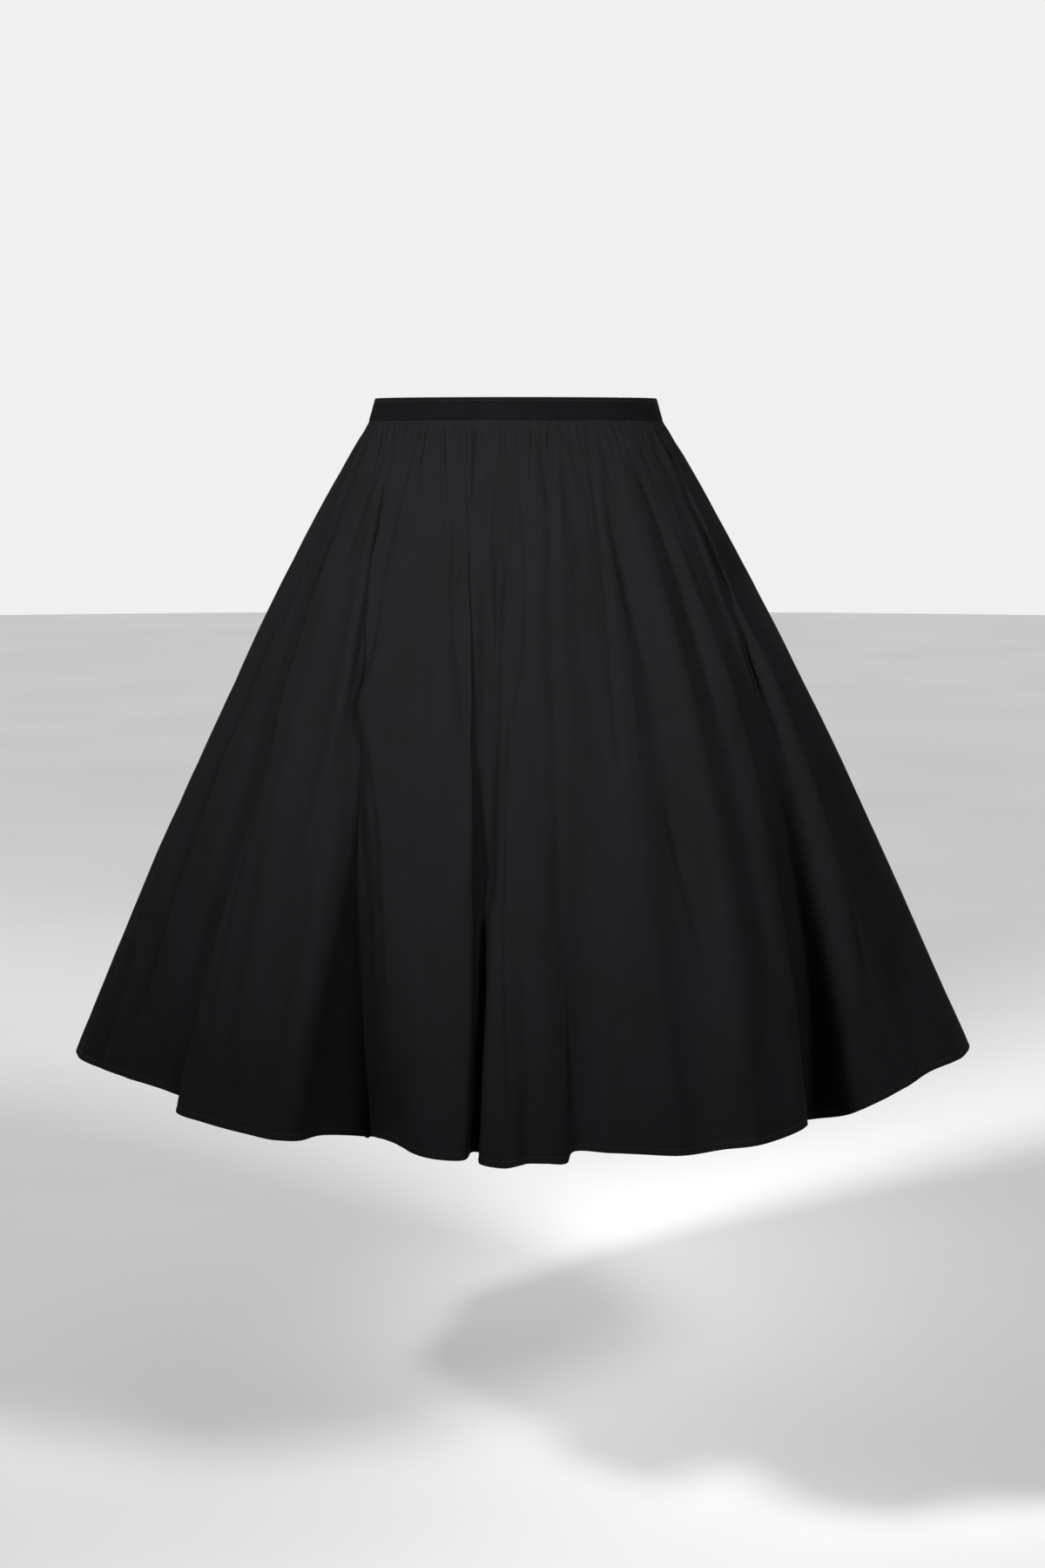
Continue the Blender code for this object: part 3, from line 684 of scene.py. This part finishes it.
def enamel_material(name):
    """Black enamel on the slider and its pull, rubbed a little where it is handled."""
    nodes = Nodes(name)
    place = nodes.add("ShaderNodeTexCoord").outputs["Object"]
    grain = nodes.noise(place, (1400.0, 1400.0, 1400.0), detail=4.0)
    rub = nodes.noise(place, (260.0, 260.0, 260.0), detail=5.0, roughness=0.65)
    worn = nodes.ranged(rub, 0.60, 0.74, 0.0, 0.35)
    nodes.colour(worn, ENAMEL_COLOURS)
    nodes.roughness(grain, 0.30, 0.46)
    nodes.bump(grain, 0.00003, 0.4)
    nodes.constants(Metallic=0.6, Coat_Weight=0.25, Coat_Roughness=0.2)
    return nodes.material


def teeth_material(name):
    """Moulded nylon teeth with a satin gloss."""
    nodes = Nodes(name)
    place = nodes.add("ShaderNodeTexCoord").outputs["Object"]
    grain = nodes.noise(place, (1800.0, 1800.0, 1800.0))
    nodes.colour(nodes.ranged(grain, 0.3, 0.7, 0.0, 1.0), TEETH_COLOURS)
    nodes.roughness(grain, 0.32, 0.45)
    return nodes.material


def floor_material(name):
    """Pale matte floor."""
    nodes = Nodes(name)
    place = nodes.add("ShaderNodeTexCoord").outputs["Object"]
    cloud = nodes.noise(place, (1.2, 1.2, 1.2), detail=3.0)
    nodes.colour(nodes.ranged(cloud, 0.3, 0.7, 0.0, 1.0), FLOOR_COLOURS)
    nodes.constants(Roughness=0.9)
    return nodes.material


def add_object(name, mesh, material):
    """A new object in the scene that wears one material."""
    mesh.materials.append(material)
    made = bpy.data.objects.new(name, mesh)
    bpy.context.scene.collection.objects.link(made)
    return made


def mesh_from(name, points, faces):
    """A smooth-shaded mesh from an array of points and a list of faces."""
    mesh = bpy.data.meshes.new(name)
    mesh.from_pydata(points.tolist(), [], faces)
    mesh.shade_smooth()
    mesh.set_sharp_from_angle(angle=SHARP_ANGLE)
    return mesh


def write_metres(mesh, metres):
    """Keeps the cloth's own coordinates, in metres, for the weave."""
    layer = mesh.attributes.new("cloth_m", "FLOAT_VECTOR", "POINT")
    layer.data.foreach_set("vector", metres.astype(np.float32).ravel())


def shell_quads(rows, columns):
    """Quads of a closed shell between an outer and an inner grid, and round its edges."""
    index = np.arange(rows * columns).reshape(rows, columns)
    back = index + rows * columns

    def strip(a, b, c, d):
        return np.stack([a.ravel(), b.ravel(), c.ravel(), d.ravel()], axis=1)

    return np.concatenate([
        strip(index[:-1, :-1], index[1:, :-1], index[1:, 1:], index[:-1, 1:]),
        strip(back[:-1, :-1], back[:-1, 1:], back[1:, 1:], back[1:, :-1]),
        strip(index[:-1, 0], back[:-1, 0], back[1:, 0], index[1:, 0]),
        strip(index[:-1, -1], index[1:, -1], back[1:, -1], back[:-1, -1]),
        strip(index[0, :-1], index[0, 1:], back[0, 1:], back[0, :-1]),
        strip(index[-1, :-1], back[-1, :-1], back[-1, 1:], index[-1, 1:]),
    ])


def grid_metres(grid):
    """The cloth's own coordinates: across from the middle column, and down from the top."""
    across = np.linalg.norm(np.diff(grid, axis=1), axis=2)
    across = np.concatenate([np.zeros((len(grid), 1)), np.cumsum(across, axis=1)], axis=1)
    across -= across[:, grid.shape[1] // 2][:, None]
    down = np.linalg.norm(np.diff(grid, axis=0), axis=2)
    down = np.concatenate([np.zeros((1, grid.shape[1])), np.cumsum(down, axis=0)])
    return np.stack([across, down, np.zeros_like(down)], axis=2)


def add_shell(name, middle, out, outer_half, inner_half, material):
    """A thin closed shell round a grid, with its own coordinates for the weave."""
    outer = middle + out * outer_half
    inner = middle - out * inner_half
    points = np.concatenate([outer.reshape(-1, 3), inner.reshape(-1, 3)])
    mesh = mesh_from(name, points, shell_quads(*middle.shape[:2]).tolist())
    metres = grid_metres(middle).reshape(-1, 3)
    write_metres(mesh, np.concatenate([metres, metres]))
    return add_object(name, mesh, material)


def make_panel(name, node, grid, shares, first_gather, last_gather, material):
    """One panel: seam edges that turn in, and a hem that is turned up and stitched."""
    first = first_gather * COLUMNS_PER_GATHER
    last = last_gather * COLUMNS_PER_GATHER
    picked = np.arange(first, last + 1) % grid.shape[1]
    middle = grid[:, picked].copy()
    out = outward_of(grid)[:, picked]
    steps = np.linalg.norm(np.diff(middle, axis=1), axis=2)
    for edge, inner, lengths in ((0, 1, steps), (-1, -2, steps[:, ::-1])):
        middle[:, edge] += unit(middle[:, inner] - middle[:, edge]) * PANEL_GAP / 2
        side = 1 if edge == 0 else -1
        for k in range(SEAM_COLUMNS):
            gone = lengths[:, :k].sum(axis=1)
            dip = SEAM_DIP * np.exp(-((gone / SEAM_DIP_WIDTH) ** 2))
            column = edge + side * k
            middle[:, column] -= out[:, column] * dip[:, None]
    from_hem = (1.0 - shares) * SLANT_LENGTH
    dip = HEM_STITCH_DIP * np.exp(-((from_hem - HEM_STITCH_HEIGHT) / HEM_STITCH_DIP_WIDTH) ** 2)
    half = CLOTH_THICKNESS / 2
    rounded = 1.0 - HEM_EDGE_THINNING * np.exp(-from_hem / HEM_EDGE_LENGTH)
    outer_half = (half * rounded - dip)[:, None, None]
    turned = HEM_TURN_EXTRA * (from_hem < HEM_TURN)
    inner_half = ((half + turned) * rounded - dip)[:, None, None]
    piece = add_shell(name, middle, out, outer_half, inner_half, material)
    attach(piece, "skirt")
    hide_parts(node)
    return piece


def stitch_mesh(name, starts, ends, outs):
    """Many short stitches in one mesh: each is a bead of thread, sunk at both ends."""
    along = ends - starts
    side = unit(np.cross(outs, along))
    rings = []
    for share, size, lift in STITCH_STATIONS:
        centre = starts + along * share + outs * STITCH_RADIUS * lift
        for step in range(STITCH_SIDES):
            turn = 2.0 * math.pi * step / STITCH_SIDES
            offset = side * math.cos(turn) + outs * math.sin(turn)
            rings.append(centre + offset * STITCH_RADIUS * size)
    points = np.array(rings).transpose(1, 0, 2)
    count = points.shape[1]
    faces = []
    for ring in range(len(STITCH_STATIONS) - 1):
        for step in range(STITCH_SIDES):
            a = ring * STITCH_SIDES + step
            b = ring * STITCH_SIDES + (step + 1) % STITCH_SIDES
            faces.append((a, a + STITCH_SIDES, b + STITCH_SIDES, b))
    near = list(range(STITCH_SIDES))
    far = [k + count - STITCH_SIDES for k in near][::-1]
    every = []
    for k in range(len(points)):
        every += [tuple(i + k * count for i in face) for face in faces]
        every += [tuple(i + k * count for i in near), tuple(i + k * count for i in far)]
    mesh = bpy.data.meshes.new(name)
    mesh.from_pydata(points.reshape(-1, 3).tolist(), [], every)
    mesh.shade_smooth()
    return mesh


def stitches_on(line, outs):
    """Start, end and outward direction of the stitches laid along a line."""
    steps = np.linalg.norm(np.diff(line, axis=0), axis=1)
    gone = np.concatenate([[0.0], np.cumsum(steps)])
    begin = np.arange(STITCH_PITCH, gone[-1] - STITCH_PITCH, STITCH_PITCH)
    end = begin + STITCH_LENGTH

    def at(values, where):
        return np.stack([np.interp(where, gone, values[:, k]) for k in range(3)], axis=1)

    return at(line, begin), at(line, end), unit(at(outs, begin + STITCH_LENGTH / 2))


def make_hem_stitches(grid, shares, material):
    """The hem's line of stitching, outside and inside, a few millimetres above its edge."""
    target = 1.0 - HEM_STITCH_HEIGHT / SLANT_LENGTH
    row = int(np.argmin(np.abs(shares - target)))
    closed = np.concatenate([grid[row], grid[row, :1]])
    out = outward_of(grid)[row]
    outs = np.concatenate([out, out[:1]])
    lift = CLOTH_THICKNESS / 2 - HEM_STITCH_DIP
    front = stitches_on(closed + outs * lift, outs)
    sunk = lift + HEM_TURN_EXTRA
    back = stitches_on(closed - outs * sunk, -outs)
    joined = [np.concatenate([a, b]) for a, b in zip(front, back)]
    piece = add_object("hem_stitches", stitch_mesh("hem_stitches", *joined), material)
    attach(piece, "skirt")
    return piece


def band_ovals(up):
    """The band's half width and half depth at a height."""
    share = up / BAND_HEIGHT + 0.5
    half_width = BAND_BOTTOM_HALF_WIDTH + (BAND_TOP_HALF_WIDTH - BAND_BOTTOM_HALF_WIDTH) * share
    half_depth = BAND_BOTTOM_HALF_DEPTH + (BAND_TOP_HALF_DEPTH - BAND_BOTTOM_HALF_DEPTH) * share
    return half_width, half_depth


def band_points(degrees, out, up):
    """Points of the band, out of its middle surface and up from its middle height."""
    half_width, half_depth = band_ovals(up)
    plan = oval(degrees, half_width, half_depth)
    plan = plan + np.asarray(out)[..., None] * oval_outward(degrees, half_width, half_depth)
    height = np.broadcast_to(up, plan.shape[:-1])
    return np.concatenate([plan, height[..., None]], axis=-1)


def band_section():
    """The band's outline: out of its middle and up, from the outer foot round to the inner."""
    half = BAND_THICKNESS / 2
    top = BAND_HEIGHT / 2
    rows = np.array(BAND_ROWS_MM) * MM
    stitch = top - EDGE_STITCH_DROP
    dent = EDGE_STITCH_DENT * np.exp(-((rows - stitch) / EDGE_STITCH_DENT_WIDTH) ** 2)
    outer = [(half - d, z) for d, z in zip(dent, rows)]
    crown = top - rows[-1]
    turns = np.radians([25, 50, 75, 90])
    over = [(half * math.cos(a), rows[-1] + crown * math.sin(a)) for a in turns]
    side = outer + over
    inner = [(-x, z) for x, z in side[::-1] if x > 0.01 * half]
    sole = top + rows[0]
    turns = np.radians([30, 60, 90, 120, 150])
    foot = [(-half * math.cos(a), rows[0] - sole * math.sin(a)) for a in turns]
    return side + inner + foot


def band_degrees():
    """The angles of the band's columns, from one side of the zip round to the other."""
    half_gap = math.degrees(ZIP_HALF_GAP / BAND_TOP_HALF_WIDTH)
    return np.linspace(-180.0 + half_gap, 180.0 - half_gap, BAND_SEGMENTS + 1)


def make_band(cloth):
    """The waistband: one smooth strip with a stitched top edge, puckered at the gathers."""
    degrees = band_degrees()
    random = np.random.default_rng(SEED + 2)
    strength = random.uniform(0.3, 1.0, GATHERS + 2)
    gather = (degrees + 90.0) % 360.0 * GATHERS / 360.0
    pull = np.interp(gather, np.arange(GATHERS + 2), strength)
    wave = np.sin(2.0 * np.pi * gather) * pull
    slow = np.sin(np.radians(degrees) * 7.0 + 0.6) + 0.6 * np.sin(np.radians(degrees) * 17.0 + 2.0)
    rings = []
    for out, up in band_section():
        low = smooth(-(up - PUCKER_TOP) / (BAND_HEIGHT / 2))
        shift = PUCKER_OUT * wave * low + BAND_WAVER * slow
        rings.append(band_points(degrees, out + shift, up + PUCKER_UP * wave * low))
    points = np.array(rings)
    count, columns = points.shape[:2]
    index = np.arange(count * columns).reshape(count, columns)
    after = np.roll(index, -1, axis=0)
    quads = np.stack([index[:, :-1], index[:, 1:], after[:, 1:], after[:, :-1]], axis=2)
    ends = [index[:, 0].tolist(), index[::-1, -1].tolist()]
    mesh = mesh_from("band_cloth", points.reshape(-1, 3), quads.reshape(-1, 4).tolist() + ends)
    along = np.linalg.norm(np.diff(points[0], axis=0), axis=1)
    across = np.concatenate([[0.0], np.cumsum(along)])
    heights = points[:, :, 2]
    round_band = np.broadcast_to(across, heights.shape)
    metres = np.stack([round_band, -heights, np.zeros_like(heights)], axis=2)
    write_metres(mesh, metres.reshape(-1, 3))
    piece = add_object("band_cloth", mesh, cloth)
    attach(piece, "skirt")
    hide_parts("waistband")
    return piece


def make_band_stitches(material):
    """The edge stitching along the top of the band, outside."""
    degrees = band_degrees()
    stitch = BAND_HEIGHT / 2 - EDGE_STITCH_DROP
    sunk = np.full_like(degrees, BAND_THICKNESS / 2 - EDGE_STITCH_SINK)
    line = band_points(degrees, sunk, stitch)
    flat = oval_outward(degrees, *band_ovals(stitch))
    outs = np.concatenate([flat, np.zeros((len(flat), 1))], axis=1)
    laid = stitches_on(line, outs)
    piece = add_object("band_stitches", stitch_mesh("band_stitches", *laid), material)
    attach(piece, "skirt")
    return piece


def zip_path(grid, shares):
    """The zip's rows at centre back: its middle line and the directions out of it."""
    centre = BACK_CENTRE_GATHER * COLUMNS_PER_GATHER
    out = outward_of(grid)
    points = []
    outs = []
    for up in np.linspace(ZIP_TOP, -BAND_HEIGHT / 2, ZIP_BAND_ROWS):
        points.append(band_points(np.array([180.0]), np.zeros(1), up)[0])
        outs.append((0.0, 1.0, 0.0))
    for i in np.flatnonzero((shares > ZIP_CLOTH_START) & (shares <= ZIP_END_SHARE)):
        points.append(grid[i, centre])
        outs.append(out[i, centre])
    points = np.array(points)
    points[:, 0] = 0.0
    outs = np.array(outs)
    outs[:, 0] = 0.0
    return points, unit(outs)


def rib_height(rib, across):
    """How far a woven rib stands up at places across the tape."""
    return rib.height * np.exp(-((across - rib.place) / rib.width) ** 2)


def make_tape(name, node, path, outs, side, material):
    """One half of the zip's tape, with a rolled rib where the teeth are sewn on."""
    across = np.array(TAPE_COLUMNS)
    rib = rib_height(TEETH_RIB, across) + rib_height(EDGE_RIB, across)
    middle = path[:, None, :] - outs[:, None, :] * TAPE_INSET
    shift = np.zeros_like(middle) + across[None, :, None] * np.array([side, 0.0, 0.0])
    middle = middle + shift
    out = np.broadcast_to(outs[:, None, :], middle.shape)
    if side > 0:
        middle = middle[:, ::-1]
        rib = rib[::-1]
    half = TAPE_THICKNESS / 2
    piece = add_shell(name, middle, out, half, (half + rib)[None, :, None], material)
    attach(piece, "skirt")
    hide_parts(node)
    return piece


def make_teeth(path, outs, material):
    """The closed zip's teeth, from both tapes in turn, as one mesh."""
    below = path[:, 2] < TEETH_TOP
    line = path[below] - outs[below] * TEETH_INSET
    steps = np.linalg.norm(np.diff(line, axis=0), axis=1)
    gone = np.concatenate([[0.0], np.cumsum(steps)])
    mesh_data = bmesh.new()
    for k in range(int(gone[-1] / (TOOTH_PITCH / 2)) - 2):
        side = 1.0 if k % 2 else -1.0
        where = (k + 1) * TOOTH_PITCH / 2
        centre = Vector([float(np.interp(where, gone, line[:, n])) for n in range(3)])
        out = [float(np.interp(where, gone, outs[below][:, n])) for n in range(3)]
        made = bmesh.ops.create_cube(mesh_data, size=1.0)["verts"]
        bmesh.ops.scale(mesh_data, vec=(TOOTH_REACH, TOOTH_DEPTH, TOOTH_WIDTH), verts=made)
        lean = Matrix.Rotation(math.atan2(out[2], out[1]), 3, "X")
        bmesh.ops.rotate(mesh_data, matrix=lean, verts=made)
        aside = Vector((side * (TOOTH_REACH / 2 - TOOTH_OVERLAP), 0.0, 0.0))
        bmesh.ops.translate(mesh_data, vec=centre + aside, verts=made)
    bmesh.ops.bevel(mesh_data, geom=mesh_data.edges[:], offset=TOOTH_BEVEL, segments=1,
                    profile=0.5, affect="EDGES", clamp_overlap=True)
    mesh = bpy.data.meshes.new("zip_teeth")
    mesh_data.to_mesh(mesh)
    mesh_data.free()
    mesh.shade_smooth()
    mesh.set_sharp_from_angle(angle=SHARP_ANGLE)
    piece = add_object("zip_teeth", mesh, material)
    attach(piece, "skirt")
    return piece


def dress_hardware():
    """The slider and its pull keep the model's shape, and get their enamel."""
    enamel = enamel_material("zip_enamel")
    for name in ("zip_slider", "zip_pull"):
        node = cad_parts[name]
        for slot in node.material_slots:
            slot.material = enamel


def make_floor():
    """A pale floor below the skirt."""
    mesh_data = bmesh.new()
    bmesh.ops.create_circle(mesh_data, cap_ends=True, radius=FLOOR_RADIUS, segments=FLOOR_SIDES)
    mesh = bpy.data.meshes.new("floor")
    mesh_data.to_mesh(mesh)
    mesh_data.free()
    floor = add_object("floor", mesh, floor_material("floor"))
    floor.location = (0.0, 0.0, FLOOR_HEIGHT)


def add_spot(lamp):
    """A soft spot light that points at a place and fades evenly to its cone's edge."""
    data = bpy.data.lights.new(lamp.name, "SPOT")
    data.spot_size = math.radians(2.0 * lamp.half_angle_deg)
    data.spot_blend = 1.0
    data.shadow_soft_size = lamp.softness
    data.energy = lamp.power
    light = bpy.data.objects.new(lamp.name, data)
    light.location = lamp.place
    toward = Vector(lamp.aim) - Vector(lamp.place)
    light.rotation_euler = toward.to_track_quat("-Z", "Y").to_euler()
    light.visible_camera = False
    bpy.context.scene.collection.objects.link(light)


def make_studio():
    """Soft light on the front from both sides and above, some behind, a pale surround."""
    for lamp in LAMPS:
        add_spot(lamp)
    world = bpy.data.worlds.new("studio")
    bpy.context.scene.world = world
    world.use_nodes = True
    background = world.node_tree.nodes["Background"]
    background.inputs["Color"].default_value = (*SURROUND_COLOUR, 1.0)
    background.inputs["Strength"].default_value = SURROUND_STRENGTH
    bpy.context.scene.view_settings.view_transform = "Standard"


def make_camera():
    """The photograph's view: in front, a little lower than the waistband, tilted down."""
    data = bpy.data.cameras.new("camera")
    data.sensor_width = SENSOR_MM
    data.lens = SENSOR_MM * FOCAL_LENGTH_PX / PHOTO_HEIGHT_PX
    data.clip_start = 0.1
    data.clip_end = 60
    camera = bpy.data.objects.new("camera", data)
    camera.location = CAMERA_PLACE
    tilt = math.atan(TILT_PX / FOCAL_LENGTH_PX)
    camera.rotation_euler = (math.radians(90) - tilt, 0.0, 0.0)
    bpy.context.scene.collection.objects.link(camera)
    bpy.context.scene.camera = camera


def main():
    make_camera()
    make_studio()
    make_floor()
    cloth = cloth_material("skirt_cotton", SKIRT_COLOURS, 0.002, CLOTH_THREAD)
    # The band's cotton, its colours darkened by painted shade
    band = cloth_material("band_cotton", BAND_COLOURS_WITH_PAINTED_SHADE, 0.001, CLOTH_THREAD)
    tape = cloth_material("zip_tape_weave", TAPE_COLOURS, 0.05, TAPE_THREAD)
    thread = thread_material("thread")
    grid, shares = cloth_grid()
    front, middle, end = FRONT_GATHERS, BACK_CENTRE_GATHER, GATHERS
    make_panel("front_cloth", "skirt_front", grid, shares, 0, front, cloth)
    make_panel("back_left_cloth", "skirt_back_left", grid, shares, front, middle, cloth)
    make_panel("back_right_cloth", "skirt_back_right", grid, shares, middle, end, cloth)
    make_hem_stitches(grid, shares, thread)
    make_band(band)
    make_band_stitches(thread)
    path, outs = zip_path(grid, shares)
    make_tape("tape_left_cloth", "zip_tape_left", path, outs, 1.0, tape)
    make_tape("tape_right_cloth", "zip_tape_right", path, outs, -1.0, tape)
    make_teeth(path, outs, teeth_material("zip_teeth"))
    dress_hardware()


main()
